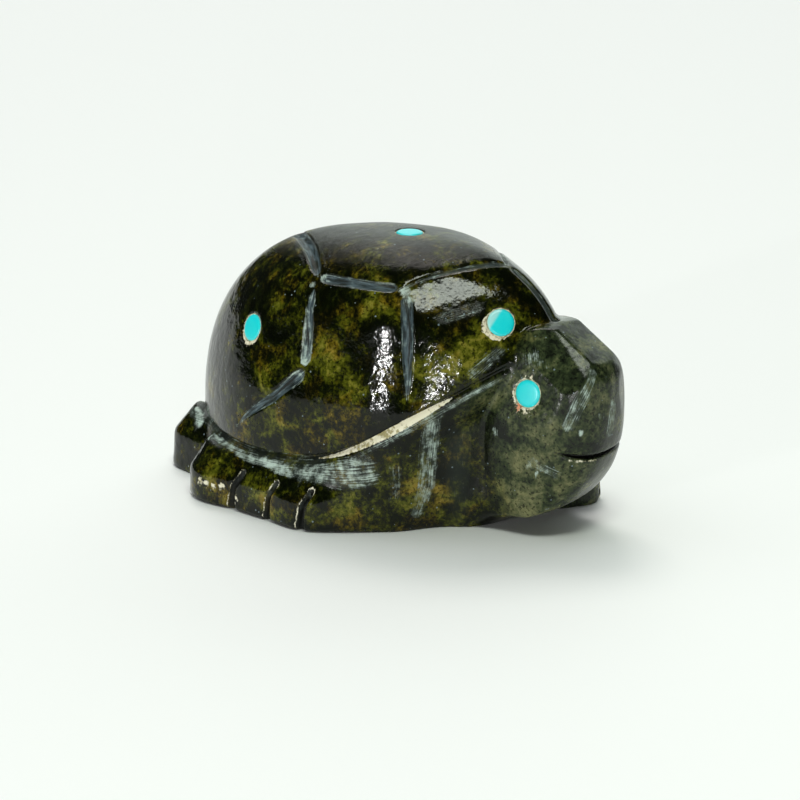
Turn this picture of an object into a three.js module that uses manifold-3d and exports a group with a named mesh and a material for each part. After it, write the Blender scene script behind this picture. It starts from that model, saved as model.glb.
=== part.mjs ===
// A small carved turtle of polished green stone, with seven round turquoise inlays.
// It faces -Y and stands on its flat underside; its right side is -X. All lengths are in millimetres.
import * as THREE from 'three';
import { mergeVertices } from 'three/addons/utils/BufferGeometryUtils.js';
import Module from 'manifold-3d';

const wasm = await Module();
wasm.setup();

// Shell: flat-sided facets round an upright axis, rising to a broad top
const shellHeight = 29; // top of the shell above the ground
const beltHeight = 8.8; // where the shell is widest
const flankFacet = 13.5; // axis to the facets at the middle of the sides
const shoulderFacet = 15.4; // axis to the facets beside the head
const hipFacet = 17.8; // axis to the facets beside the tail
const frontFacet = 25.2; // axis to the blunt front ridge
const rearFacet = 25; // axis to the blunt rear ridge
const shoulderBearing = 48; // degrees from the nose
const hipBearing = 128;
const facetSharpness = 9; // higher leaves crisper ridges between the facets
const domeFullness = 2.7; // 2 is an ellipse, higher is boxier
const frontFullness = 0.15; // how much fuller the front is than the rear
const topShift = 0.8; // the top sits a little behind the axis of the belt
const tuckIn = 1; // how far the shell draws in below its belt
const tuckDepth = 8; // height over which it draws in
const tuckAngle = 40; // degrees of latitude that the tuck spans

// Rim: level along the rear and flanks, rising over the shoulders to the neck
const rimHeight = 7.05;
const rimRise = 0.68; // height gained for each millimetre forward
const rimTurn = 0.3; // Y at which it starts to rise
const rimEase = 2.7; // length over which it turns upward
const rimGrooveWidth = 0.95; // the cut line under the rim
const rimGrooveDepth = 0.5;

// Carved lines on the shell
const grooveWidth = 1.25;
const grooveDepth = 0.5;
const grooveFade = 0.16; // share of a groove's length over which its end runs out

// Mouth
const mouthHeight = 0.55;
const mouthDepth = 0.5;
const mouthLevel = 9.2; // height of the slit at the front
const mouthTilt = 1; // the slit's ends are this much higher
const mouthReach = 66; // degrees that the slit runs round each side of the head

// Toe cuts
const toeCutWidth = 0.8;
const toeCutDepth = 0.8;
const toeCutHeight = 4.6;

// Inlays: round plugs set flush in drilled holes
const inlayDiameter = 2.8;
const inlayLength = 1.5;
const inlayCrown = 0.08; // how far the middle stands proud
const inlayEdge = 0.15; // rounding of the plug's edge
const drillClearance = 0.3; // all round the plug, and below it
const eyeHeight = 15.6;
const eyeSetback = 7.1; // nose to the middle of the eye

// Head, relative to the tip of the nose
const noseY = -25.6;
const headCentreSetback = 7.1; // nose to the middle of the head's sections
const headFullness = 2.7; // roundness of a level section, 2 is an ellipse
const crownSetback = 6.2; // nose to the highest point
const crownHeight = 22.1;
const chinSetback = 13.1; // nose to where the chin runs into the chest
const chinHeight = 0.9;

// Level sections of the head, chin to crown: height, how far the front lies behind the nose,
// half width, and how far the back lies behind the nose
const headSections = [
  { height: 1.3, front: 9.4, half: 4.4, back: 18.8 },
  { height: 3, front: 4.7, half: 5.2, back: 18.3 },
  { height: 6.2, front: 1.6, half: 5.5, back: 17 },
  { height: 9.8, front: 0.3, half: 5.8, back: 15.8 },
  { height: 13.2, front: 0, half: 5.9, back: 14.6 },
  { height: 16.4, front: 0.1, half: 5.7, back: 12.6 },
  { height: 18.6, front: 1, half: 5.2, back: 11 },
  { height: 20.4, front: 2.7, half: 4.2, back: 10 },
  { height: 21.6, front: 4.6, half: 2.7, back: 9 },
];

// The body below the shell, by bearing from the nose round the right side: distance from the axis
// to the foot of its wall, height and distance of the wall's top edge, and height and distance of
// the crest behind it. The right flipper is swept back, the left one reaches forward.
const bodyStations = [
  { bearing: 0, foot: 12.5, edgeHeight: 3.5, edge: 13.5, crest: 14, crestHeight: 9 },
  { bearing: 12, foot: 12.3, edgeHeight: 4.5, edge: 13, crest: 14, crestHeight: 11 },
  { bearing: 22, foot: 12.2, edgeHeight: 5, edge: 12.8, crest: 14.2, crestHeight: 12 },
  { bearing: 37, foot: 11.4, edgeHeight: 5, edge: 12.4, crest: 13.6, crestHeight: 10 },
  { bearing: 58, foot: 12, edgeHeight: 4.5, edge: 12.7, crest: 13.7, crestHeight: 8 },
  { bearing: 84, foot: 14, edgeHeight: 3.6, edge: 14.1, crest: 13.7, crestHeight: 6.3 },
  { bearing: 97, foot: 15.7, edgeHeight: 3.2, edge: 15.7, crest: 14.1, crestHeight: 5.8 },
  { bearing: 118, foot: 16.6, edgeHeight: 3.2, edge: 16.6, crest: 15.4, crestHeight: 5.7 },
  { bearing: 132, foot: 18.5, edgeHeight: 3.2, edge: 18.5, crest: 17.2, crestHeight: 5.7 },
  { bearing: 145, foot: 22, edgeHeight: 3.2, edge: 22, crest: 19.9, crestHeight: 5.8 },
  { bearing: 152, foot: 22.2, edgeHeight: 3.2, edge: 22.2, crest: 20.6, crestHeight: 5.8 },
  { bearing: 159, foot: 20.4, edgeHeight: 3.2, edge: 20.4, crest: 20.5, crestHeight: 5.6 },
  { bearing: 165, foot: 23.6, edgeHeight: 3.8, edge: 23.4, crest: 21.6, crestHeight: 6 },
  { bearing: 170, foot: 26.6, edgeHeight: 4, edge: 26.4, crest: 23.6, crestHeight: 7.2 },
  { bearing: 175, foot: 27.2, edgeHeight: 4, edge: 27, crest: 24.4, crestHeight: 7.4 },
  { bearing: 180, foot: 25.6, edgeHeight: 3.8, edge: 25.4, crest: 24, crestHeight: 6.6 },
  { bearing: 185, foot: 27.2, edgeHeight: 4, edge: 27, crest: 24.4, crestHeight: 7.4 },
  { bearing: 192, foot: 26, edgeHeight: 4, edge: 25.8, crest: 23.4, crestHeight: 7 },
  { bearing: 202, foot: 23.4, edgeHeight: 4, edge: 23.2, crest: 21.6, crestHeight: 5.8 },
  { bearing: 225, foot: 19, edgeHeight: 4, edge: 18.8, crest: 18, crestHeight: 5.6 },
  { bearing: 250, foot: 15.6, edgeHeight: 4.2, edge: 15.6, crest: 14.6, crestHeight: 5.8 },
  { bearing: 270, foot: 15, edgeHeight: 4, edge: 15, crest: 13.9, crestHeight: 6 },
  { bearing: 295, foot: 17, edgeHeight: 3.4, edge: 17, crest: 14.8, crestHeight: 6.2 },
  { bearing: 320, foot: 20, edgeHeight: 3.2, edge: 20, crest: 17, crestHeight: 6.6 },
  { bearing: 338, foot: 20.2, edgeHeight: 3.2, edge: 20.2, crest: 17, crestHeight: 6.6 },
  { bearing: 348, foot: 14, edgeHeight: 3.4, edge: 14.4, crest: 14.6, crestHeight: 7.4 },
];
const footRounding = 0.3; // small chamfer where the wall meets the ground
const toeCutBearings = [98, 115, 131, 302, 317, 332];

// Bearings and latitudes, in degrees, of the scute pattern on the right half of the shell
const frontPoint = [0, 60];
const shoulderCorner = [54, 50.5];
const hipCorner = [114, 50.5];
const rearPoint = [180, 60];
const crossGrooves = [
  [frontPoint, shoulderCorner],
  [hipCorner, rearPoint],
];
const sideGrooves = [
  [shoulderCorner, hipCorner],
  [[54, 46], [55, 11]],
  [[112, 45], [108, 31], [107, 18]],
  [[107, 15], [120, 7], [136, 0.5]],
];
const ridgeGrooves = [
  [[0, 58], [0, 30]],
  [[180, 56], [180, 12]],
];
const shellInlays = {
  shell_inlay_top: [0, 88.5],
  shell_inlay_front_right: [17, 34.5],
  shell_inlay_rear_right: [139, 25],
  shell_inlay_front_left: [-17, 34.5],
  shell_inlay_rear_left: [-139, 25],
};

// How far the forms run into each other, so that they join
const bodyInset = 3; // the body's top, inside the shell's rim
const bodyRise = 1; // and above it
const bodyPeak = 12; // height of the body's middle
const shellDrop = 2; // the shell's underside, below its rim

// Mesh resolution
const shellColumns = 72;
const shellRows = 11;
const topLatitude = 84; // degrees, the highest ring of the shell below its top point
const headColumns = 36;
const headRows = 15;
const cutterSides = 8;
const grooveSteps = 10;
const mouthSteps = 13;
const inlaySides = 16;

const halvings = 24; // enough to place a point to well under a micron
const radians = THREE.MathUtils.degToRad;
const lerp = THREE.MathUtils.lerp;

// A closed mesh as a solid that can be joined and cut
function toSolid(geometry) {
  const bare = geometry.clone();
  bare.deleteAttribute('normal');
  bare.deleteAttribute('uv');
  const merged = mergeVertices(bare);
  const mesh = new wasm.Mesh({
    numProp: 3,
    vertProperties: new Float32Array(merged.attributes.position.array),
    triVerts: new Uint32Array(merged.index.array),
  });
  return new wasm.Manifold(mesh);
}

function toGeometry(solid) {
  const mesh = solid.getMesh();
  const geometry = new THREE.BufferGeometry();
  geometry.setAttribute('position', new THREE.BufferAttribute(mesh.vertProperties, 3));
  geometry.setIndex(new THREE.BufferAttribute(mesh.triVerts, 1));
  geometry.computeVertexNormals();
  return geometry;
}

// A sphere whose rows are moved onto the given rings, top one first. The first and the last ring
// are single points. Each ring turns a bearing into a point.
function loft(rings, columns) {
  const geometry = new THREE.SphereGeometry(1, columns, rings.length - 1);
  const position = geometry.attributes.position;
  rings.forEach((ring, row) => {
    for (let column = 0; column <= columns; column += 1) {
      const bearing = 90 - (360 * (column % columns)) / columns;
      const point = ring(bearing);
      position.setXYZ(row * (columns + 1) + column, point.x, point.y, point.z);
    }
  });
  return geometry;
}

function fromAxis(bearing, radius, height) {
  const angle = radians(bearing);
  return new THREE.Vector3(-radius * Math.sin(angle), -radius * Math.cos(angle), height);
}

// Smooth curve through values given at increasing places, its tangents from their neighbours
function hermite(before, start, end, after, place) {
  const span = end.at - start.at;
  const share = (place - start.at) / span;
  const slope = (end.value - start.value) / span;
  const slopeBefore = (start.value - before.value) / (start.at - before.at);
  const slopeAfter = (after.value - end.value) / (after.at - end.at);
  const blend = (near, nearSpan, far, farSpan) => (near * farSpan + far * nearSpan) / (nearSpan + farSpan);
  const tangentStart = blend(slopeBefore, start.at - before.at, slope, span);
  const tangentEnd = blend(slope, span, slopeAfter, after.at - end.at);
  const square = share * share;
  const cube = square * share;
  return (2 * cube - 3 * square + 1) * start.value
    + (cube - 2 * square + share) * span * tangentStart
    + (3 * square - 2 * cube) * end.value
    + (cube - square) * span * tangentEnd;
}

// Where a condition stops holding between two values, found by halving
function lastWhere(holds, low, high) {
  let [start, end] = [low, high];
  for (let turn = 0; turn < halvings; turn += 1) {
    const middle = (start + end) / 2;
    if (holds(middle)) {
      start = middle;
    } else {
      end = middle;
    }
  }
  return start;
}

// Shell

const shellFacets = [
  { bearing: 0, distance: frontFacet },
  { bearing: 180, distance: rearFacet },
];
for (const side of [1, -1]) {
  shellFacets.push({ bearing: side * shoulderBearing, distance: shoulderFacet });
  shellFacets.push({ bearing: side * 90, distance: flankFacet });
  shellFacets.push({ bearing: side * hipBearing, distance: hipFacet });
}

// Distance from the axis to the belt: a polygon of the facets with rounded corners
function beltRadius(bearing) {
  let sum = 0;
  for (const facet of shellFacets) {
    const toward = Math.cos(radians(bearing - facet.bearing));
    sum += (Math.max(0, toward) / facet.distance) ** facetSharpness;
  }
  return sum ** (-1 / facetSharpness);
}

function fullness(bearing) {
  return domeFullness + frontFullness * Math.cos(radians(bearing));
}

// Share of the belt radius that is left at a latitude
function shellReach(bearing, latitude) {
  return Math.cos(radians(latitude)) ** (2 / fullness(bearing));
}

function shellPoint(bearing, latitude) {
  if (latitude < 0) {
    const tuck = -latitude / tuckAngle;
    return fromAxis(bearing, beltRadius(bearing) - tuckIn * tuck * tuck, beltHeight - tuckDepth * tuck);
  }
  const reach = shellReach(bearing, latitude);
  const rise = Math.sin(radians(latitude)) ** (2 / fullness(bearing));
  const height = beltHeight + (shellHeight - beltHeight) * rise;
  const point = fromAxis(bearing, beltRadius(bearing) * reach, height);
  point.y += topShift * (1 - reach);
  return point;
}

function shellNormal(bearing, latitude) {
  const step = 0.5;
  const along = shellPoint(bearing + step, latitude).sub(shellPoint(bearing - step, latitude));
  const up = shellPoint(bearing, latitude + step).sub(shellPoint(bearing, latitude - step));
  return up.cross(along).normalize();
}

function rimHeightAt(y) {
  return rimHeight + rimRise * rimEase * Math.log1p(Math.exp((rimTurn - y) / rimEase));
}

// Latitude at which the shell meets its rim
function rimLatitude(bearing) {
  const isBelow = (latitude) => {
    const point = shellPoint(bearing, latitude);
    return point.z < rimHeightAt(point.y);
  };
  return lastWhere(isBelow, -tuckAngle, topLatitude);
}

function rimPoint(bearing) {
  return shellPoint(bearing, rimLatitude(bearing));
}

function shellGeometry() {
  const rings = [() => new THREE.Vector3(0, topShift, shellHeight)];
  for (let row = shellRows; row >= 0; row -= 1) {
    rings.push((bearing) => shellPoint(bearing, lerp(rimLatitude(bearing), topLatitude, row / shellRows)));
  }
  rings.push(() => new THREE.Vector3(0, 0, rimHeight - shellDrop));
  return loft(rings, shellColumns);
}

// Body and limbs

function station(name, bearing) {
  const count = bodyStations.length;
  const turn = THREE.MathUtils.euclideanModulo(bearing, 360);
  let index = count - 1;
  while (bodyStations[index].bearing > turn) {
    index -= 1;
  }
  const pick = (offset) => {
    const place = index + offset;
    const lap = Math.floor(place / count);
    const row = bodyStations[place - lap * count];
    return { at: row.bearing + 360 * lap, value: row[name] };
  };
  return hermite(pick(-1), pick(0), pick(1), pick(2), turn);
}

function bodyGeometry() {
  const ring = (radius, height) => (bearing) => fromAxis(bearing, radius(bearing), height(bearing));
  const inRim = (inset, drop) => (bearing) => {
    const rim = rimPoint(bearing);
    return fromAxis(bearing, Math.hypot(rim.x, rim.y) - inset, rim.z - drop);
  };
  const rings = [
    () => new THREE.Vector3(0, 0, bodyPeak),
    inRim(bodyInset, -bodyRise),
    inRim(rimGrooveDepth, rimGrooveWidth / 2),
    inRim(0, rimGrooveWidth),
    ring((bearing) => station('crest', bearing), (bearing) => station('crestHeight', bearing)),
    ring((bearing) => station('edge', bearing), (bearing) => station('edgeHeight', bearing)),
    ring((bearing) => station('foot', bearing), () => footRounding),
    ring((bearing) => station('foot', bearing) - footRounding, () => 0),
    () => new THREE.Vector3(0, 0, 0),
  ];
  return loft(rings, shellColumns);
}

// Head

const headLevels = [
  { height: chinHeight, front: chinSetback, half: 0, back: chinSetback },
  ...headSections,
  { height: crownHeight, front: crownSetback, half: 0, back: crownSetback },
];

// A value of the head's sections at a level between 0, the chin, and 1, the crown
function headValue(name, level) {
  const last = headLevels.length - 1;
  const place = level * last;
  const index = Math.min(Math.floor(place), last - 1);
  const pick = (offset) => {
    const at = index + offset;
    return { at, value: headLevels[THREE.MathUtils.clamp(at, 0, last)][name] };
  };
  return hermite(pick(-1), pick(0), pick(1), pick(2), place);
}

function headPoint(bearing, level) {
  const angle = radians(bearing);
  const bend = (value) => Math.sign(value) * Math.abs(value) ** (2 / headFullness);
  const front = headValue('front', level);
  const back = headValue('back', level);
  const centre = THREE.MathUtils.clamp(headCentreSetback, front, back);
  const across = bend(Math.sin(angle));
  const along = bend(Math.cos(angle));
  const length = along > 0 ? centre - front : back - centre;
  const half = Math.max(0, headValue('half', level));
  return new THREE.Vector3(-half * across, noseY + centre - length * along, headValue('height', level));
}

function headLevel(height) {
  return lastWhere((level) => headValue('height', level) < height, 0, 1);
}

function headNormal(bearing, level) {
  const turn = 2;
  const rise = 0.01;
  const along = headPoint(bearing + turn, level).sub(headPoint(bearing - turn, level));
  const up = headPoint(bearing, level + rise).sub(headPoint(bearing, level - rise));
  return up.cross(along).normalize();
}

function headGeometry() {
  const rings = [];
  for (let row = headRows; row >= 0; row -= 1) {
    const level = row / headRows;
    const pole = row === 0 || row === headRows;
    rings.push((bearing) => headPoint(pole ? 0 : bearing, level));
  }
  return loft(rings, headColumns);
}

// Cuts

// A round-nosed cut along places on a surface. Its ends rise out of the stone.
function grooveGeometry(places, width, depth) {
  const radius = (width * width / 4 + depth * depth) / (2 * depth);
  const points = places.map(({ point, normal }, index) => {
    const share = index / (places.length - 1);
    const fromEnd = Math.min(share, 1 - share) / grooveFade;
    const sunk = depth * Math.min(1, Math.sqrt(fromEnd));
    return point.clone().addScaledVector(normal, radius - sunk);
  });
  const section = new THREE.Shape();
  section.absarc(0, 0, radius, 0, 2 * Math.PI);
  return new THREE.ExtrudeGeometry(section, {
    steps: places.length + 2,
    curveSegments: cutterSides / 2, // a full circle gets twice as many
    bevelEnabled: false,
    extrudePath: new THREE.CatmullRomCurve3(points),
  });
}

function placeOnShell(bearing, latitude) {
  return { point: shellPoint(bearing, latitude), normal: shellNormal(bearing, latitude) };
}

function placeOnHead(bearing, level) {
  return { point: headPoint(bearing, level), normal: headNormal(bearing, level) };
}

// Places along a line of corners given as bearing and latitude
function placesOnShell(corners) {
  const path = new THREE.CurvePath();
  for (let index = 1; index < corners.length; index += 1) {
    const [start, end] = [corners[index - 1], corners[index]];
    path.add(new THREE.LineCurve(new THREE.Vector2(...start), new THREE.Vector2(...end)));
  }
  return path.getSpacedPoints(grooveSteps - 1).map(({ x, y }) => placeOnShell(x, y));
}

// The place on the shell right above a point of the ground. The middle of the shell's rings moves
// back with height.
function shellAbove(x, y) {
  const centreAt = (latitude) => topShift * (1 - shellReach(0, latitude));
  const bearingAt = (latitude) => THREE.MathUtils.radToDeg(Math.atan2(-x, centreAt(latitude) - y));
  const isInside = (latitude) => {
    const centre = centreAt(latitude);
    const ring = beltRadius(bearingAt(latitude)) * shellReach(bearingAt(latitude), latitude);
    return ring > Math.hypot(x, y - centre);
  };
  const latitude = lastWhere(isInside, 0, topLatitude);
  return placeOnShell(bearingAt(latitude), latitude);
}

// Places between two corners of the pattern, on a line that is straight seen from above
function straightPlaces(start, end) {
  const from = shellPoint(...start);
  const to = shellPoint(...end);
  return Array.from({ length: grooveSteps }, (_, index) => {
    const share = index / (grooveSteps - 1);
    return shellAbove(lerp(from.x, to.x, share), lerp(from.y, to.y, share));
  });
}

function shellGrooves() {
  const runs = ridgeGrooves.map(placesOnShell);
  for (const side of [1, -1]) {
    const mirror = ([bearing, latitude]) => [side * bearing, latitude];
    for (const line of sideGrooves) {
      runs.push(placesOnShell(line.map(mirror)));
    }
    for (const line of crossGrooves) {
      runs.push(straightPlaces(...line.map(mirror)));
    }
  }
  return runs.map((places) => grooveGeometry(places, grooveWidth, grooveDepth));
}

function mouthGeometry() {
  const places = Array.from({ length: mouthSteps }, (_, index) => {
    const bearing = lerp(-mouthReach, mouthReach, index / (mouthSteps - 1));
    const level = headLevel(mouthLevel + mouthTilt * (Math.abs(bearing) / mouthReach) ** 2);
    return placeOnHead(bearing, level);
  });
  return grooveGeometry(places, mouthHeight, mouthDepth);
}

function toeCutGeometry(bearing) {
  const cut = new THREE.BoxGeometry(toeCutWidth, 2 * toeCutDepth, 2 * toeCutHeight);
  cut.rotateZ(-radians(bearing));
  const place = fromAxis(bearing, station('edge', bearing), 0);
  return cut.translate(place.x, place.y, place.z);
}

// Inlays

function inlayPlaces() {
  const places = {};
  for (const [name, [bearing, latitude]] of Object.entries(shellInlays)) {
    places[name] = placeOnShell(bearing, latitude);
  }
  const level = headLevel(eyeHeight);
  const isBefore = (bearing) => headPoint(bearing, level).y < noseY + eyeSetback;
  const eyeBearing = lastWhere(isBefore, 0, 180);
  places.eye_right = placeOnHead(eyeBearing, level);
  places.eye_left = placeOnHead(-eyeBearing, level);
  return places;
}

// Turns a shape that stands along Y onto a place, its top facing outward
function setOnto(geometry, { point, normal }) {
  const turn = new THREE.Quaternion().setFromUnitVectors(new THREE.Vector3(0, 1, 0), normal);
  return geometry.applyQuaternion(turn).translate(point.x, point.y, point.z);
}

function inlayGeometry() {
  const radius = inlayDiameter / 2;
  const profile = [
    new THREE.Vector2(0, -inlayLength),
    new THREE.Vector2(radius, -inlayLength),
    new THREE.Vector2(radius, -inlayEdge),
    new THREE.Vector2(radius - inlayEdge, 0),
    new THREE.Vector2(0, inlayCrown),
  ];
  return new THREE.LatheGeometry(profile, inlaySides);
}

function drillGeometry() {
  const radius = inlayDiameter / 2 + drillClearance;
  const depth = inlayLength + drillClearance;
  return new THREE.CylinderGeometry(radius, radius, 2 * depth, inlaySides);
}

// The stone, cut out of the joined forms
function stoneSolid(places) {
  let stone = toSolid(shellGeometry()).add(toSolid(bodyGeometry())).add(toSolid(headGeometry()));
  const cuts = [...shellGrooves(), mouthGeometry(), ...toeCutBearings.map(toeCutGeometry)];
  for (const place of Object.values(places)) {
    cuts.push(setOnto(drillGeometry(), place));
  }
  for (const cut of cuts) {
    stone = stone.subtract(toSolid(cut));
  }
  return stone;
}

const serpentine = new THREE.MeshStandardMaterial({ color: '#2f3320', roughness: 0.22, metalness: 0 });
const turquoise = new THREE.MeshStandardMaterial({ color: '#19c8c4', roughness: 0.35, metalness: 0 });

const turtle = new THREE.Group();
turtle.name = 'stone_turtle';

const places = inlayPlaces();
const stone = new THREE.Mesh(toGeometry(stoneSolid(places)), serpentine);
stone.name = 'turtle_stone';
turtle.add(stone);
for (const [name, place] of Object.entries(places)) {
  const inlay = new THREE.Mesh(setOnto(inlayGeometry(), place), turquoise.clone());
  inlay.name = name;
  turtle.add(inlay);
}

// The middle of the footprint stands at the origin
stone.geometry.computeBoundingBox();
const middle = stone.geometry.boundingBox.getCenter(new THREE.Vector3());
for (const mesh of turtle.children) {
  mesh.position.set(-middle.x, -middle.y, 0);
}

export default turtle;
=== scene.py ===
from functools import partial
import math

import bpy
import numpy as np
import openvdb
from mathutils import Matrix, Vector


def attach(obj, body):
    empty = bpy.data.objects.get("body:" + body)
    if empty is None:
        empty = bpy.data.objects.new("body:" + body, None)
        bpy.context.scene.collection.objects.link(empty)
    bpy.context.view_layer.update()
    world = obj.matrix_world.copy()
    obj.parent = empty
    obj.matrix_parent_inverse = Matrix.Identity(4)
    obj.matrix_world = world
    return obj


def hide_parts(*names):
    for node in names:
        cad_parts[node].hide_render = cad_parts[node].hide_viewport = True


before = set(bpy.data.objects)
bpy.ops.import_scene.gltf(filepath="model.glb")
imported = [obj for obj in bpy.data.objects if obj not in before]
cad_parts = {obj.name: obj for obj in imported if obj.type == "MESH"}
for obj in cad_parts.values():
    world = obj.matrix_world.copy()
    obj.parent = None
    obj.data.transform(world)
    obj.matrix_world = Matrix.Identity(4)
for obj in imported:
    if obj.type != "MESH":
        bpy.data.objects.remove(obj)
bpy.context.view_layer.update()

# The carving is worked out in millimetres about the shell's axis, nose towards -Y.
# A bearing is in degrees from the nose, round the turtle's right side.
millimetre = 0.001
axisPlace = np.array([0.0965, -0.7352, 0.0])  # where the shell's axis stands in the frame

shell = {
    "height": 29.0,
    "belt": 8.8,
    "facets": [
        (0, 25.2), (180, 25.0), (48, 15.4), (-48, 15.4), (90, 13.5), (-90, 13.5), (128, 17.8), (-128, 17.8),
    ],
    "sharpness": 9.0,
    "fullness": 2.7,
    "frontFullness": 0.15,
    "leanBelt": 7.4,  # the walls lean in from this height, a little more than the solid's
    "leanFront": 0.35,
    "topShift": 0.8,
    "tuckIn": 1.0,
    "tuckDepth": 8.0,
    "tuckAngle": 40.0,
    "topLatitude": 88.0,
    "rimHeight": 7.05,
    "rimRise": 0.68,
    "rimTurn": 0.3,
    "rimEase": 2.7,
    "flankLow": 13.2,  # the flanks are filed straight between these two heights
    "flankHigh": 22.5,
    "flankFrom": 0.55,  # from this sine of the bearing on
    "flankEase": 0.25,
    "flankBow": 0.4,
    "rimGrooveWidth": 0.95,
    "rimGrooveDepth": 0.55,
}


def beltRadius(bearing):
    total = 0
    for facet, distance in shell["facets"]:
        toward = np.clip(np.cos(np.radians(bearing - facet)), 0, None)
        total = total + (toward / distance) ** shell["sharpness"]
    return total ** (-1 / shell["sharpness"])


def shellPoint(bearing, latitude):
    bearing, latitude = np.broadcast_arrays(np.asarray(bearing, float), np.asarray(latitude, float))
    angle = np.radians(bearing)
    fullness = shell["fullness"] + shell["frontFullness"] * np.cos(angle)
    rise = np.sin(np.radians(np.clip(latitude, 0, 90))) ** (2 / fullness)
    tuck = np.clip(-latitude, 0, None) / shell["tuckAngle"]
    height = shell["belt"] + (shell["height"] - shell["belt"]) * rise - shell["tuckDepth"] * tuck
    lean = shell["fullness"] + shell["leanFront"] * np.cos(angle)

    def reachAt(level):
        over = np.clip((level - shell["leanBelt"]) / (shell["height"] - shell["leanBelt"]), 0, 1)
        return (1 - over ** lean) ** (1 / lean)

    reach = reachAt(height)
    up = np.clip((height - shell["flankLow"]) / (shell["flankHigh"] - shell["flankLow"]), 0, 1)
    straight = reachAt(shell["flankLow"]) * (1 - up) + reachAt(shell["flankHigh"]) * up
    side = np.clip((np.abs(np.sin(angle)) - shell["flankFrom"]) / shell["flankEase"], 0, 1)
    side = side * (4 * up * (1 - up)) ** shell["flankBow"]
    radius = beltRadius(bearing) * (reach + (straight - reach) * side) - shell["tuckIn"] * tuck ** 2
    y = -radius * np.cos(angle) + shell["topShift"] * (1 - reach)
    return np.stack([-radius * np.sin(angle), y, height], -1)


def unit(vectors):
    return vectors / np.linalg.norm(vectors, axis=-1, keepdims=True)


def facingOf(surface, turn, level, turnStep, levelStep):
    along = surface(turn + turnStep, level) - surface(turn - turnStep, level)
    up = surface(turn, level + levelStep) - surface(turn, level - levelStep)
    return unit(np.cross(up, along))


def shellNormal(bearing, latitude):
    return facingOf(shellPoint, bearing, latitude, 0.5, 0.5)


def rimLatitude(bearing):
    low = np.full(bearing.shape, -shell["tuckAngle"])
    high = np.full(bearing.shape, 80.0)
    for _ in range(30):
        middle = (low + high) / 2
        point = shellPoint(bearing, middle)
        ahead = (shell["rimTurn"] - point[..., 1]) / shell["rimEase"]
        rim = shell["rimHeight"] + shell["rimRise"] * shell["rimEase"] * np.logaddexp(0, ahead)
        over = point[..., 2] > rim
        high = np.where(over, middle, high)
        low = np.where(over, low, middle)
    return low


# Below the shell: bearing, foot, height and distance of the wall's top edge, distance and height
# of the crest behind it
bodyRows = np.array([
    (0, 12.9, 2.2, 15, 14.2, 9),
    (12, 12.8, 2.3, 14.8, 14.2, 11),
    (22, 12.5, 3.4, 13.7, 14.2, 12),
    (37, 11.4, 4.8, 12.5, 13.6, 10),
    (58, 12, 4.5, 12.7, 13.7, 8),
    (84, 14, 3.6, 14.1, 13.7, 6.3),
    (97, 15.7, 3.2, 15.7, 14.1, 5.8),
    (118, 16.6, 3.2, 16.6, 15.4, 5.7),
    (132, 18.5, 3.2, 18.5, 17.2, 5.7),
    (145, 22, 3.2, 22, 19.9, 5.8),
    (152, 22.2, 3.2, 22.2, 20.6, 5.8),
    (159, 20.4, 3.2, 20.4, 20.5, 5.6),
    (165, 23.6, 3.8, 23.4, 21.6, 6),
    (170, 26.6, 4, 26.4, 23.6, 7.2),
    (175, 27.2, 4, 27, 24.4, 7.4),
    (180, 25.6, 3.8, 25.4, 24, 6.6),
    (185, 27.2, 4, 27, 24.4, 7.4),
    (192, 26, 4, 25.8, 23.4, 7),
    (202, 23.4, 4, 23.2, 21.6, 5.8),
    (225, 19, 4, 18.8, 18, 5.6),
    (250, 15.6, 4.2, 15.6, 14.6, 5.8),
    (270, 15, 4, 15, 13.9, 6),
    (295, 17, 3.4, 17, 14.8, 6.2),
    (320, 20, 3.2, 20, 17, 6.6),
    (338, 20.2, 3.2, 20.2, 17, 6.6),
    (348, 14, 3.4, 14.4, 14.6, 7.4),
])
bodyColumns = {"foot": 1, "edgeHeight": 2, "edge": 3, "crest": 4, "crestHeight": 5}


def blend(share, start, end, leave, arrive):
    # a smooth run from start to end, with the slopes that it leaves and arrives at
    square = share ** 2
    cube = share ** 3
    return ((2 * cube - 3 * square + 1) * start + (cube - 2 * square + share) * leave
            + (3 * square - 2 * cube) * end + (cube - square) * arrive)


def smoothThrough(places, values, at):
    # a smooth curve through the values, its slopes from their neighbours
    gap = np.diff(places)
    slope = np.diff(values) / gap
    tangent = np.zeros(len(values))
    tangent[1:-1] = (slope[:-1] * gap[1:] + slope[1:] * gap[:-1]) / (gap[:-1] + gap[1:])
    index = np.clip(np.searchsorted(places, at, side="right") - 1, 0, len(places) - 2)
    span = gap[index]
    share = (at - places[index]) / span
    return blend(share, values[index], values[index + 1], span * tangent[index], span * tangent[index + 1])


def bodyStation(name, bearing):
    places = bodyRows[:, 0]
    values = bodyRows[:, bodyColumns[name]]
    rounds = np.concatenate([places - 360, places, places + 360])
    return smoothThrough(rounds, np.tile(values, 3), np.mod(bearing, 360))


def fromAxis(bearing, radius, height):
    angle = np.radians(bearing)
    return np.stack([-radius * np.sin(angle), -radius * np.cos(angle), height + 0 * radius], -1)


head = {
    "noseY": -25.6,
    "centre": 7.1,
    "fullness": 2.7,
    # chin to crown: height, how far the front lies behind the nose, half width, and the back
    "levels": np.array([
        (1.2, 13.1, 0.0, 13.1),
        (1.75, 9.6, 4.2, 18.8),
        (3.0, 4.7, 5.2, 18.3),
        (6.2, 1.6, 5.5, 17.0),
        (9.8, 0.3, 5.8, 15.8),
        (13.2, 0.0, 5.85, 14.6),
        (16.4, 0.1, 5.55, 12.6),
        (18.6, 1.0, 5.3, 11.0),
        (20.4, 2.7, 4.8, 10.0),
        (21.6, 4.6, 3.5, 9.0),
        (22.1, 6.2, 0.0, 6.2),
    ]),
}


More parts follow.
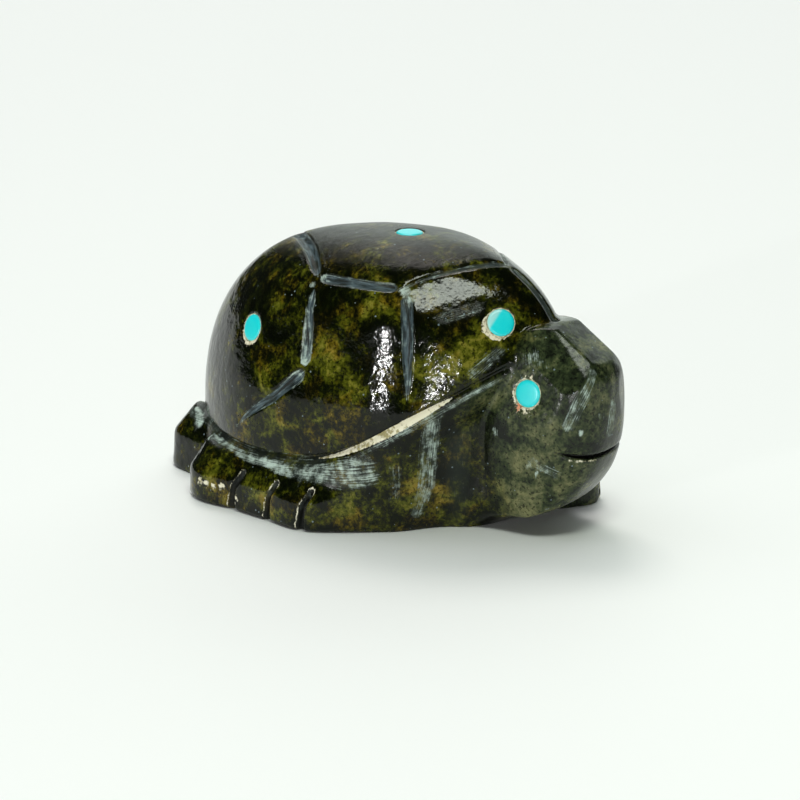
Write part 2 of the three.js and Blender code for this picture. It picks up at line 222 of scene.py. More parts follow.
def headRow(level):
    # the sections' values at a level between 0, the chin, and 1, the crown
    rows = head["levels"]
    last = len(rows) - 1
    place = np.clip(level, 0, 1) * last
    index = np.minimum(np.floor(place).astype(int), last - 1)
    before, start, end, after = (rows[np.clip(index + step, 0, last)] for step in (-1, 0, 1, 2))
    leave = (end - before) / np.where(index == 0, 1, 2)[..., None]
    arrive = (after - start) / np.where(index == last - 1, 1, 2)[..., None]
    return blend((place - index)[..., None], start, end, leave, arrive)


def headPoint(bearing, level):
    bearing, level = np.broadcast_arrays(np.asarray(bearing, float), np.asarray(level, float))
    height, front, half, back = np.moveaxis(headRow(level), -1, 0)
    centre = np.clip(head["centre"], np.minimum(front, back), np.maximum(front, back))
    angle = np.radians(bearing)
    power = 2 / head["fullness"]
    across = np.sign(np.sin(angle)) * np.abs(np.sin(angle)) ** power
    along = np.sign(np.cos(angle)) * np.abs(np.cos(angle)) ** power
    length = np.where(along > 0, centre - front, back - centre)
    half = np.clip(half, 0, None)
    return np.stack([-half * across, head["noseY"] + centre - length * along, height], -1)


def headNormal(bearing, level):
    return facingOf(headPoint, bearing, level, 2, 0.01)


def headLevel(height):
    levels = np.linspace(0, 1, 2001)
    return np.interp(height, headRow(levels)[:, 0], levels)


# The forms are made as closed lofts, turned into distance fields on one grid, joined and cut there,
# and meshed again, so that they run into each other as carved stone does.
grid = {
    "voxel": 0.18,
    "low": np.array([-17.0, -28.0, -1.2]),
    "high": np.array([17.0, 29.0, 30.4]),
    "band": 2.6,  # how far from a surface the distances are kept
}
voxel = grid["voxel"]
gridStart = np.floor(grid["low"] / voxel).astype(int)
gridShape = tuple(np.ceil((grid["high"] - grid["low"]) / voxel).astype(int))
gridSteps = [(gridStart[axis] + np.arange(gridShape[axis])) * voxel for axis in range(3)]
gridX, gridY, gridZ = np.meshgrid(*gridSteps, indexing="ij", sparse=True)


def loft(rings):
    points = np.concatenate(rings)
    starts = np.cumsum([0] + [len(ring) for ring in rings])
    triangles = []
    for row in range(len(rings) - 1):
        upper, lower = len(rings[row]), len(rings[row + 1])
        here = np.arange(max(upper, lower))
        there = (here + 1) % len(here)
        a, b = starts[row] + here % upper, starts[row] + there % upper
        c, d = starts[row + 1] + here % lower, starts[row + 1] + there % lower
        if upper > 1:
            triangles.append(np.stack([a, b, c], 1))
        if lower > 1:
            triangles.append(np.stack([b, d, c], 1))
    return points, np.concatenate(triangles)


def distanceField(points, triangles):
    volume = openvdb.FloatGrid.createLevelSetFromPolygons(
        points.astype(np.float32),
        triangles=triangles.astype(np.uint32),
        transform=openvdb.createLinearTransform(voxelSize=voxel),
        halfWidth=grid["band"] / voxel,
    )
    field = np.empty(gridShape, np.float32)
    volume.copyToArray(field, ijk=tuple(int(v) for v in gridStart))
    return field


def softUnion(first, second, reach):
    near = np.clip(reach - np.abs(first - second), 0, None) / reach
    return np.minimum(first, second) - near ** 2 * (reach / 4)


def softCut(field, cut, reach):
    # what is inside the cut goes; both are negative inside
    return -softUnion(-field, cut, reach)


def onAxis(y, height):
    return np.array([[0.0, y, height]])


bearings = np.arange(0, 360, 0.75)
rimAt = rimLatitude(bearings)
rimPoints = shellPoint(bearings, rimAt)
shares = np.linspace(0, 1, 90)
rings = [shellPoint(bearings, rimAt + (shell["topLatitude"] - rimAt) * share) for share in shares]
shellField = distanceField(*loft([onAxis(shell["topShift"], shell["height"])] + rings[::-1] + [onAxis(0, 5)]))

rimRadius = np.hypot(rimPoints[:, 0], rimPoints[:, 1])
rimSideways = np.minimum(bearings, 360 - bearings)
rimGrooveDepth = np.interp(rimSideways, [15, 30, 88, 105], [0.4, 0.2, 0.2, shell["rimGrooveDepth"]])
inRim = lambda inset, drop: fromAxis(bearings, rimRadius - inset, rimPoints[:, 2] - drop)
bodyAt = {name: bodyStation(name, bearings) for name in bodyColumns}
footBevel = 0.3
bodyField = distanceField(*loft([
    onAxis(0, 12),
    inRim(3.0, -1.0),
    inRim(rimGrooveDepth, shell["rimGrooveWidth"] / 2),
    inRim(0.0, shell["rimGrooveWidth"]),
    fromAxis(bearings, bodyAt["crest"], bodyAt["crestHeight"]),
    fromAxis(bearings, bodyAt["edge"], bodyAt["edgeHeight"]),
    fromAxis(bearings, bodyAt["foot"], footBevel),
    fromAxis(bearings, bodyAt["foot"] - footBevel, 0.0),
    onAxis(0, 0),
]))

rings = [headPoint(np.arange(0, 360, 2.0), share) for share in shares]
headField = distanceField(*loft([rings[-1][:1]] + rings[-2:0:-1] + [rings[0][:1]]))
print("forms worked out on a grid of", gridShape)


def softened(field, passes):
    # rounds the edges a little, as rubbing down does
    for _ in range(passes):
        for axis in range(3):
            ahead = np.roll(field, -1, axis)
            behind = np.roll(field, 1, axis)
            field = field * 0.5 + (ahead + behind) * 0.25
    return field


def filedFlat(field, facing, depth, reach):
    # files a flat square to the facing, this deep
    a, b, c = unit(np.array(facing)).astype(np.float32)
    outward = gridX.astype(np.float32) * a + gridY.astype(np.float32) * b + gridZ.astype(np.float32) * c
    return softCut(field, outward[field < 0].max() - depth - outward, reach)


# Flats filed on the head, on both sides but for the brow's: facing, depth
headFlats = {
    "brow slope": ((0.0, -0.58, 0.815), 0.5),
    "front": ((0.30, -0.952, 0.06), 0.16),
    "side": ((0.985, -0.02, 0.17), 0.5),
    "temple": ((0.82, -0.27, 0.505), 1.15),
    "brow edge": ((0.618, -0.449, 0.644), 0.24),
}
# Strokes of the file on the shell's shoulders, above the front scutes: facing, depth, softness
shoulderFlats = [((0.618, -0.449, 0.644), 0.24, 0.05), ((0.659, -0.526, 0.536), 0.12, 0.1)]
# How softly the forms run together, softest under the throat, and how often the body was rubbed down
joins = {"flats": 0.06, "body": 0.3, "head": 0.45, "throat": 3.6, "throatTop": 7, "throatFade": 1.5}
rubs = 5
for (x, y, z), depth in headFlats.values():
    for side in (-1, 1) if x else (1,):
        headField = filedFlat(headField, (side * x, y, z), depth, joins["flats"])
stoneField = softUnion(shellField, softened(bodyField, rubs), joins["body"])
for side in (-1, 1):
    for (x, y, z), depth, reach in shoulderFlats:
        stoneField = filedFlat(stoneField, (side * x, y, z), depth, reach)
throat = np.clip((joins["throatTop"] - gridZ) / joins["throatTop"], 0, 1) ** joins["throatFade"]
stoneField = softUnion(stoneField, headField, (joins["head"] + joins["throat"] * throat).astype(np.float32))


def emptyField():
    return np.full(gridShape, grid["band"], np.float32)


def addTubes(field, points, radii):
    # adds the distance to a chain of round-ended pieces
    reach = max(radii) + 1.5
    for k in range(len(points) - 1):
        a, b = points[k], points[k + 1]
        low = np.maximum(np.floor((np.minimum(a, b) - reach) / voxel).astype(int) - gridStart, 0)
        high = np.minimum(np.ceil((np.maximum(a, b) + reach) / voxel).astype(int) - gridStart, gridShape)
        if (high <= low).any():
            continue
        part = tuple(slice(*pair) for pair in zip(low, high))
        x, y, z = gridX[part[0]] - a[0], gridY[:, part[1]] - a[1], gridZ[:, :, part[2]] - a[2]
        run = b - a
        share = np.clip((x * run[0] + y * run[1] + z * run[2]) / (run @ run), 0, 1)
        distance = np.sqrt(sum((offset - share * step) ** 2 for offset, step in zip((x, y, z), run)))
        distance -= radii[k] + share * (radii[k + 1] - radii[k])
        np.minimum(field[part], distance, out=field[part])


def placesOnShell(corners, count=36):
    corners = np.array(corners, float)
    ends = np.concatenate([[0], np.cumsum(np.linalg.norm(np.diff(corners, axis=0), axis=1))])
    at = np.linspace(0, ends[-1], count)
    bearing = np.interp(at, ends, corners[:, 0])
    latitude = np.interp(at, ends, corners[:, 1])
    return shellPoint(bearing, latitude), shellNormal(bearing, latitude)


def placesStraight(start, end, count=36):
    # straight seen from above: the bearing and latitude are found by stepping towards each place
    first, last = shellPoint(*start), shellPoint(*end)
    target = first + (last - first) * np.linspace(0, 1, count)[:, None]
    power = 2 / (shell["fullness"] + shell["frontFullness"])
    low = np.zeros(count)
    high = np.full(count, shell["topLatitude"])
    for _ in range(30):
        latitude = (low + high) / 2
        centre = shell["topShift"] * (1 - np.cos(np.radians(latitude)) ** power)
        bearing = np.degrees(np.arctan2(-target[:, 0], centre - target[:, 1]))
        point = shellPoint(bearing, latitude)
        wanted = np.hypot(target[:, 0], target[:, 1] - centre)
        inside = np.hypot(point[:, 0], point[:, 1] - centre) > wanted
        low = np.where(inside, latitude, low)
        high = np.where(inside, high, latitude)
    return shellPoint(bearing, latitude), shellNormal(bearing, latitude)


# Cut lines: width at the start, middle and end, the share of its length that each end takes to run out,
# and the corners' bearings and latitudes. The ridges run once, the others on both sides.
grooveDepth = 0.42  # of the width
grooves = {
    "front ridge": (0.8, 0.8, 0.8, 0.08, 0.2, [(0, 58), (0, 30)]),
    "rear ridge": (1.0, 1.1, 0.7, 0.08, 0.3, [(180, 56), (180, 12)]),
    "band": (1.05, 1.0, 0.9, 0.06, 0.08, [(110, 50.6), (58, 50.5)]),
    "shoulder": (1.25, 1.15, 0.75, 0.06, 0.3, [(54, 46), (55, 11)]),
    "hip": (0.6, 0.85, 1.1, 0.2, 0.06, [(112, 45.5), (108, 31), (107, 18)]),
    "hip tail": (1.1, 0.95, 0.5, 0.08, 0.3, [(107, 15), (120, 7), (138, -0.5)]),
    "front slope": (0.75, 0.5, 0.55, 0.1, 0.05, [(0, 60), (54, 50.5)]),
    "rear slope": (1.2, 1.15, 1.15, 0.05, 0.1, [(180, 60), (115, 51.5)]),
}
grooveField = emptyField()
grooveRuns = []
for side in (1, -1):
    for name, (first, middle, last, leadIn, leadOut, corners) in grooves.items():
        if side < 0 and "ridge" in name:
            continue
        corners = [(side * bearing, latitude) for bearing, latitude in corners]
        line, facing = placesStraight(*corners) if "slope" in name else placesOnShell(corners)
        share = np.linspace(0, 1, len(line))
        width = np.interp(share, [0, 0.5, 1], [first, middle, last])
        runOut = np.sqrt(np.minimum(1, np.minimum(share / leadIn, (1 - share) / leadOut)))
        radius = width / 2 * (0.55 + 0.45 * runOut) + 0.04
        addTubes(grooveField, line + facing * (radius - grooveDepth * width * runOut)[:, None], radius)
        grooveRuns.append((name, line))
print("grooves worked out:", len(grooveRuns))

mouth = {
    "halfHeight": 0.23,
    "level": 9.2,
    "tilt": 0.9,
    "reach": 76,
    "runOut": 0.45,  # share of each half
    "deeper": 0.35,  # it is cut again this much further in
    "deepHalfHeight": 0.2,
}
mouthTurns = np.linspace(-mouth["reach"], mouth["reach"], 50)
mouthShare = np.abs(mouthTurns) / mouth["reach"]
mouthLevels = headLevel(mouth["level"] + mouth["tilt"] * mouthShare ** 2)
mouthPoints = headPoint(mouthTurns, mouthLevels)
mouthNormals = headNormal(mouthTurns, mouthLevels)
taper = np.minimum(1, (1 - mouthShare) / mouth["runOut"])
mouthField = emptyField()
deeper = mouthPoints - mouthNormals * mouth["deeper"] * taper[:, None]
addTubes(mouthField, mouthPoints, mouth["halfHeight"] * taper + 0.02)
addTubes(mouthField, deeper, mouth["deepHalfHeight"] * taper + 0.02)

# Cuts between the toes: they lean, end bluntly on the bevel above and open out at the ground
toes = {
    "bearings": [98, 115, 131, 302, 317, 332],
    "sink": 0.5,
    # up each cut: turn, height, way out from the edge, share of the way to the crest, half width,
    # and how much lower and how wide it is further in
    "rows": np.array([
        (1.2, -0.6, 0.1, 0.0, 0.684, 0.0, 0.448),
        (0.6, 1.2, 0.0, 0.0, 0.396, 0.0, 0.28),
        (0.0, 2.6, -0.05, 0.0, 0.342, 0.1, 0.266),
        (-1.6, 3.6, -0.35, 0.0, 0.324, 0.3, 0.252),
        (-2.4, 4.35, 0.0, 0.42, 0.306, 0.35, 0.224),
    ]),
}
turns, heights, outwards, bevels, halfWidths, drops, deepHalfWidths = toes["rows"].T
toeField = emptyField()
toeLines = []
for bearing in toes["bearings"]:
    edge = bodyStation("edge", bearing + turns)
    radii = edge + outwards + bevels * (bodyStation("crest", bearing + turns) - edge)
    toeLines.append(fromAxis(bearing + turns, radii, heights))
    addTubes(toeField, toeLines[-1], halfWidths)
    addTubes(toeField, fromAxis(bearing + turns, radii - toes["sink"], heights - drops), deepHalfWidths)

inlay = {
    "radius": 1.4,
    "length": 1.5,
    "crown": 0.05,
    "edge": 0.12,
    "seatRadius": 1.47,
    "seatDepth": 0.9,
    "seatOver": 1.5,
    "probe": 1.3,  # radius of the ring on which the stone's slope is felt
    "eyeHeight": 15.6,
    "eyeSetback": 7.1,
    "onShell": {
        "shell_inlay_top": (0, 88.5),
        "shell_inlay_front_right": (17, 34.5),
        "shell_inlay_rear_right": (139, 25),
        "shell_inlay_front_left": (-17, 34.5),
        "shell_inlay_rear_left": (-139, 25),
    },
}
inlayPlaces = {name: (shellPoint(*place), shellNormal(*place)) for name, place in inlay["onShell"].items()}
eyeLevel = headLevel(inlay["eyeHeight"])
eyeTurns = np.linspace(0, 180, 3601)
eyeTurn = eyeTurns[np.argmax(headPoint(eyeTurns, eyeLevel)[:, 1] > head["noseY"] + inlay["eyeSetback"])]
for name, turn in (("eye_right", eyeTurn), ("eye_left", -eyeTurn)):
    inlayPlaces[name] = (headPoint(turn, eyeLevel), headNormal(turn, eyeLevel))


def sampled(field, places):
    place = np.clip(places / voxel - gridStart, 0, np.array(gridShape) - 1.001)
    index = np.floor(place).astype(int)
    share = place - index
    total = 0
    for corner in np.ndindex(2, 2, 2):
        weight = np.prod(np.where(corner, share, 1 - share), axis=1)
        total = total + weight * field[tuple((index + corner).T)]
    return total


def slopeOf(field, places):
    ways = np.eye(3) * voxel
    return np.stack([sampled(field, places + way) - sampled(field, places - way) for way in ways], -1)


seatField = emptyField()
for name, (point, normal) in inlayPlaces.items():
    # each is set square to the stone as filed, taken round its rim
    point = point - normal * float(sampled(stoneField, point[None])[0])
    sideways = unit(np.cross(normal, np.array([0.0, 1.0, 0.1])))
    turns = np.arange(8)[:, None] * math.pi / 4
    rim = point + inlay["probe"] * (np.cos(turns) * sideways + np.sin(turns) * np.cross(normal, sideways))
    facing = unit(slopeOf(stoneField, rim).sum(0))
    point = point - facing * 0.5 * float(sampled(stoneField, rim).mean())
    inlayPlaces[name] = (point, facing)
    ends = np.array([point - facing * inlay["seatDepth"], point + facing * inlay["seatOver"]])
    addTubes(seatField, ends, [inlay["seatRadius"]] * 2)

uncutField = stoneField
# each cut, and how soft its edges are
for cut, reach in ((grooveField, 0.15), (mouthField, 0.1), (toeField, 0.12), (seatField, 0.08)):
    stoneField = softCut(stoneField, cut, reach)
print("cuts made")


def meshFromArrays(name, points, faces):
    mesh = bpy.data.meshes.new(name)
    mesh.vertices.add(len(points))
    mesh.vertices.foreach_set("co", np.ascontiguousarray(points, np.float32).ravel())
    mesh.loops.add(faces.size)
    mesh.loops.foreach_set("vertex_index", faces.ravel().astype(np.int32))
    mesh.polygons.add(len(faces))
    mesh.polygons.foreach_set("loop_start", np.arange(0, faces.size, faces.shape[1], dtype=np.int32))
    mesh.update(calc_edges=True)
    return mesh


def showObject(name, data):
    thing = bpy.data.objects.new(name, data)
    bpy.context.scene.collection.objects.link(thing)
    return thing


def standing(place, facing):
    # at a place, with Z turned to the facing
    return Matrix.Translation(place) @ Vector(facing).to_track_quat("Z", "Y").to_matrix().to_4x4()


def appliedMesh(thing):
    bpy.context.view_layer.update()
    evaluated = thing.evaluated_get(bpy.context.evaluated_depsgraph_get())
    mesh = bpy.data.meshes.new_from_object(evaluated)
    thing.modifiers.clear()
    old = thing.data
    thing.data = mesh
    bpy.data.meshes.remove(old)
    return mesh


volume = openvdb.FloatGrid(grid["band"])
volume.copyFromArray(stoneField)
points, quads = volume.convertToQuads(0.0)
points = (points + gridStart) * voxel
print("stone meshed:", len(quads), "quads")
stoneMesh = meshFromArrays("turtle_carving", points, quads[:, ::-1].copy())
stone = showObject("turtle_carving", stoneMesh)
trianglesWanted = 190000
thin = stone.modifiers.new("thin", "DECIMATE")
thin.ratio = min(1, trianglesWanted / (2 * len(quads)))
stoneMesh = appliedMesh(stone)
print("stone thinned:", len(stoneMesh.polygons), "faces")

# Each point is moved onto the surface again, as thinning takes it off a little
furthestMove = 0.1
count = len(stoneMesh.vertices)
points = np.empty(count * 3, np.float32)
stoneMesh.vertices.foreach_get("co", points)
points = points.reshape(-1, 3).astype(float)
for _ in range(2):
    slope = slopeOf(stoneField, points)
    steepness = np.maximum(np.linalg.norm(slope, axis=1), 1e-6)
    off = np.clip(sampled(stoneField, points) * 2 * voxel / steepness, -furthestMove, furthestMove)
    points -= slope / steepness[:, None] * off[:, None]
normals = unit(slopeOf(stoneField, points))
points[:, 2] = np.maximum(points[:, 2], 0)
stoneMesh.vertices.foreach_set("co", ((points + axisPlace) * millimetre).astype(np.float32).ravel())
stoneMesh.polygons.foreach_set("use_smooth", np.ones(len(stoneMesh.polygons), bool))
stoneMesh.update()


def eased(values, low, high):
    share = np.clip((values - low) / (high - low), 0, 1)
    return share * share * (3 - 2 * share)


def alongPath(path, widths):
    # how near to a path each point of the stone is, and how far along and across it
    widths = np.broadcast_to(widths, len(path))
    nearest = np.full(count, 99.0)
    along = np.zeros(count)
    across = np.zeros(count)
    done = 0
    for k in range(len(path) - 1):
        start = path[k]
        step = path[k + 1] - start
        length = np.linalg.norm(step)
        share = np.clip((points - start) @ step / length ** 2, 0, 1)
        off = points - start - share[:, None] * step
        width = widths[k] + (widths[k + 1] - widths[k]) * share
        away = np.linalg.norm(off, axis=1) / width
        sideways = (off * np.cross(step / length, normals)).sum(1) / width * np.mean(widths)
        nearer = away < nearest
        nearest = np.where(nearer, away, nearest)
        along = np.where(nearer, done + share * length, along)
        across = np.where(nearer, sideways, across)
        done += length
    return nearest, along, across


def awayFrom(middle, radius):
    # how many radii each point of the stone is from a place, which is given in the frame
    return np.linalg.norm(points - (np.array(middle) - axisPlace), axis=1) / radius


def markStroke(here, across, along, order):
    stroke[here] = np.stack([across, along, 0 * along + order], 1)[here]


depth = -sampled(uncutField, points)
inside = eased(depth, 0.04, 0.16)
grooveNear = sampled(grooveField, points)
toeNear = sampled(toeField, points)
inGroove = inside * (grooveNear < 0.2)
inToe = inside * (toeNear < 0.2)
inMouth = inside * (sampled(mouthField, points) < 0.15)
inSeat = inside * (sampled(seatField, points) < 0.1)
toeAcross = np.zeros(count)
toeTop = np.zeros(count)
for line in toeLines:
    nearest, along, across = alongPath(line, 1.0)
    toeAcross = np.where(nearest < 1.0, across, toeAcross)
    toeTop = np.where(nearest < 1.0, eased(along, 4.4, 5.0), toeTop)
rearwards = np.maximum(eased(np.sign(points[:, 0]) * toeAcross, 0.0, 0.2), toeTop)
toeLip = np.exp(-((toeNear - 0.08) / 0.11) ** 2) * (1 - eased(depth, 0.06, 0.22)) * rearwards
lip = np.exp(-((grooveNear - 0.02) / 0.14) ** 2) * (1 - eased(depth, 0.1, 0.3))

# The shell's crown was brushed across; elsewhere marks run upwards unless a stroke says otherwise
brushed = eased(points[:, 2] + 0.1 * points[:, 1], 25.4, 28.0)
brushWay = np.array([0.287, 0.958, 0.0])
stroke = np.stack([points @ brushWay, points @ np.array([brushWay[1], -brushWay[0], 0.0]), 0 * depth], 1)
upright = eased(points[:, 2], 22.5, 24.5) < 0.5
markStroke(upright, points[:, 1] - points[:, 0], points[:, 2], 0)
for order, (name, line) in enumerate(grooveRuns):
    nearest, along, across = alongPath(line, 1.0)
    markStroke(nearest < 1.1, across, along, order)
worked = 0.85 * np.maximum(inGroove, inToe)
pale = 0.12 * inGroove + 0.15 * lip

# Strokes that scuffed the stone: places along them, half widths there, and how pale
scuffs = {
    "side streak": ([(-10.4, -11.2, 12.9), (-9.5, -10.2, 8.7), (-8.8, -9.5, 5.1), (-8.9, -8.4, 2)],
                    (1.25, 1.3, 1.2, 0.8), 0.37),
    "faint streak": ([(-11.6, -7.5, 7.3), (-10.9, -7, 3.7)], (0.9, 0.8), 0.2),
    "flipper crest": ([(-8.8, 17.5, 5.9), (-12.7, 10.2, 5.9), (-13.7, 4.6, 5.9)], (0.7, 0.55, 0.7), 0.52),
    "fan": ([(-13.9, 6.2, 5.6), (-13.7, 2, 5.8), (-13.4, -4.6, 6.7)], (0.45, 1.1, 2.3), 0.4),
    "temple": ([(-2.6, -25.2, 18), (-4.2, -24.6, 15.2), (-5, -23.9, 12.9)], (0.7, 1, 0.9), 0.3),
    "snout": ([(-0.2, -26.3, 14.3), (-0.6, -26.3, 11.6)], 0.9, 0.34),
    "jaw": ([(-5.6, -20.2, 8.6), (-5.2, -22.6, 7.6)], (0.7, 0.8), 0.25),
    "hind foot": ([(-4, 22.6, 7.1), (-5.1, 21.5, 5.8)], (0.6, 0.8), 0.55),
    "shoulder upper": ([(-8, -10.8, 22.8), (-5.4, -13.4, 23.7)], (0.9, 0.8), 0.18),
    "shoulder lower": ([(-7.4, -14.3, 17.6), (-5.4, -16, 19.6)], (1, 0.8), 0.24),
    "neck": ([(-7.4, -12.4, 11), (-6.4, -12.4, 1)], (1.3, 2), 0.08),
    "left streak": ([(10.6, -9, 9.5), (11, -7.4, 3.5)], (0.9, 0.8), 0.35),
    "left flipper": ([(14.4, -6.5, 5.9), (13.6, 1, 5.9), (14, 6, 5.9)], (0.9, 0.6, 0.7), 0.5),
}
for order, (path, widths, strength) in enumerate(scuffs.values()):
    nearest, along, across = alongPath(np.array(path) - axisPlace, widths)
    mask = strength * (1 - eased(nearest, 0.45, 1.15))
    markStroke((nearest < 1.2) & (mask >= pale * 0.6) & (worked < 0.4), across, along, 20 + order)
    pale = np.maximum(pale, mask)
    worked = np.maximum(worked, np.minimum(1, 1.6 * mask))

# The neck was rubbed down with a file and never polished
neckOff = np.hypot(points[:, 0] + 7.0 + axisPlace[0], points[:, 1] + 12.2 + axisPlace[1])
worked = np.maximum(worked, 0.55 * np.exp(-(neckOff / 2.0) ** 2) * (1 - eased(points[:, 2], 11, 14)))

# Bruises: middle, radius, how pale
bruises = [
    (-4.2, -24.9, 12.1, 0.35, 0.9), (-4.9, -19.3, 19.1, 1.3, 0.3), (-4.2, -20.8, 20, 1.1, 0.3),
    (-5.4, -18.4, 17.6, 0.9, 0.28), (-5.5, -15.6, 11, 0.6, 0.35), (-5, 21.7, 5.4, 0.8, 0.4),
    (-5.6, -19.7, 8, 0.4, 0.5), (-5.5, -20.6, 7.4, 0.3, 0.6), (-1.8, -25.9, 13.4, 0.5, 0.4),
    (-9.8, 3.9, 24.8, 0.55, 0.85), (-8.7, -6.9, 25.2, 0.8, 0.55), (-8.9, -7.7, 24.6, 0.5, 0.5),
    (13, 9, 2.6, 0.8, 0.6), (-15.3, 1.6, 2.6, 0.35, 0.5),
]
for *middle, radius, strength in bruises:
    pale = np.maximum(pale, strength * (1 - eased(awayFrom(middle, radius), 0.4, 1.2)))

# Stretches where the cut lines' lips and walls are bruised as well: middle, radius, how pale
wornLips = [
    (-12.2, 3.2, 19, 3.2, 0.62), (-12.4, 3.4, 17.4, 1, 0.8), (-10.6, 3.7, 23, 1.6, 0.35),
    (-12.9, 3.9, 15.4, 1.6, 0.45), (-11.9, -9.2, 14.6, 1, 0.5), (-8.9, -7.6, 24.4, 1.2, 0.45),
    (-9.2, 2.6, 25.2, 1.4, 0.45), (-7.5, -8.6, 25.8, 1.2, 0.35), (-3, 11.5, 26.6, 5, 0.2),
    (-1, -16, 24.6, 3, 0.12), (12, 3, 19, 3, 0.4), (9, -7, 24.5, 1.5, 0.5),
    (-13.4, 11, 3.4, 2, 0.5), (-14.6, 6.4, 3.6, 1.6, 0.75), (-15, 1.6, 3.6, 1.6, 0.8),
]
for *middle, radius, strength in wornLips:
    near = strength * (1 - eased(awayFrom(middle, radius), 0.5, 1.1))
    pale = np.maximum(pale, near * np.maximum(lip, 0.55 * np.maximum(inGroove, inToe)))

# The rim of the shell: a pale ribbon along its cut edge at the front, blue-grey bruising below it
rimTurn = np.mod(np.degrees(np.arctan2(-points[:, 0], -points[:, 1])), 360)
rimOff = points - np.stack([np.interp(rimTurn, bearings, rimPoints[:, k], period=360) for k in range(3)], -1)
rimNear = np.linalg.norm(rimOff, axis=1)
rimDrop = -rimOff[:, 2]
rimSide = np.minimum(rimTurn, 360 - rimTurn)
ribbon = np.interp(rimSide, [37, 41, 47, 56, 64, 76, 88, 98], [0, 0.18, 0.34, 0.48, 0.44, 0.28, 0.14, 0])
cream = eased(ribbon - np.abs(rimDrop - 0.5), -0.16, 0.1) * (ribbon > 0) * (rimNear < 1.4)
cream = np.maximum(cream, 0.56 * toeLip)
# Chips that show the stone's pale inside: middle, radius
chips = [
    (-13.1, 15.8, 2.3, 0.6), (-13.5, 14.9, 2.2, 0.6), (-13.5, 13.9, 2.1, 0.55), (-13.6, 12.8, 2.3, 0.6),
    (-13.9, 10.6, 1.6, 0.5), (-13.6, 11.1, 1, 0.35), (13.3, 9.4, 2, 0.6),
]
for *middle, radius in chips:
    cream = np.maximum(cream, 0.62 * (1 - eased(awayFrom(middle, radius), 0.5, 1.3)))
front = (mouthTurns > 8) & (mouthTurns < 58)
lowerLip = mouthPoints[front] - np.array([0, 0, 0.45])
lowerLip -= mouthNormals[front] * sampled(uncutField, lowerLip)[:, None]
cream = np.maximum(cream, 0.42 * (1 - eased(alongPath(lowerLip, 0.16)[0], 0.6, 1.4)))
lowerFace = np.exp(-((rimDrop - 1.25) / 0.45) ** 2) * (rimNear < 2.6)
lowerFace *= eased(rimSide, 14, 26) * (1 - eased(rimSide, 60, 84))
inRimGroove = np.exp(-((rimDrop - 0.6) / 0.7) ** 2) * (rimNear < 2.2) * eased(rimSide, 84, 98)
worked = np.maximum.reduce([worked, 0.7 * lowerFace, 0.6 * inRimGroove])
pale = np.maximum.reduce([pale, 0.42 * lowerFace, 0.2 * inRimGroove])
atRim = (rimDrop > -0.1) & (rimNear < 2.4) & (rimDrop < 1.8)
atRim &= np.maximum.reduce([lowerFace, inRimGroove, cream]) > 0.1
markStroke(atRim, -rimDrop, np.radians(rimTurn) * 14, 40)

# Cement smeared round the inlays: how far out, how much further towards which clock direction, how solid
smears = {
    "shell_inlay_top": (1.5, 0.08, -60, 0.5),
    "shell_inlay_front_right": (1.44, 0.62, -125, 1.0),
    "shell_inlay_rear_right": (1.48, 0.3, 170, 0.9),
    "eye_right": (1.6, 0.2, -140, 0.62),
    "shell_inlay_front_left": (1.52, 0.25, 100, 0.9),
    "shell_inlay_rear_left": (1.5, 0.2, -150, 0.9),
    "eye_left": (1.62, 0.2, 60, 0.8),
}
# One spot of the cement under the eye has a salmon tint
salmonSpot = {"piece": "eye_right", "out": 1.55, "clock": math.radians(-150)}
cement = np.zeros(count)
salmon = np.zeros(count)
for name, (radius, further, clock, solid) in smears.items():
    point, normal = inlayPlaces[name]
    off = points - point
    near = np.linalg.norm(off, axis=1) < 3
    upwards = np.array([0, 0, 1.0] if abs(normal[2]) < 0.9 else [0, 1.0, 0])
    sideways = unit(np.cross(upwards, normal))
    x, y = off @ sideways, off @ np.cross(normal, sideways)
    turn = np.arctan2(x, y) - math.radians(clock)
    reach = radius + further * np.clip(np.cos(turn), 0, 1) ** 1.5
    cement = np.maximum(cement, near * solid * eased(reach - np.hypot(x, y), -0.16, 0.12))
    if name == salmonSpot["piece"]:
        spotX, spotY = (salmonSpot["out"] * way(salmonSpot["clock"]) for way in (math.sin, math.cos))
        salmon = near * (1 - eased(np.hypot(x - spotX, y - spotY), 0.26, 0.46))

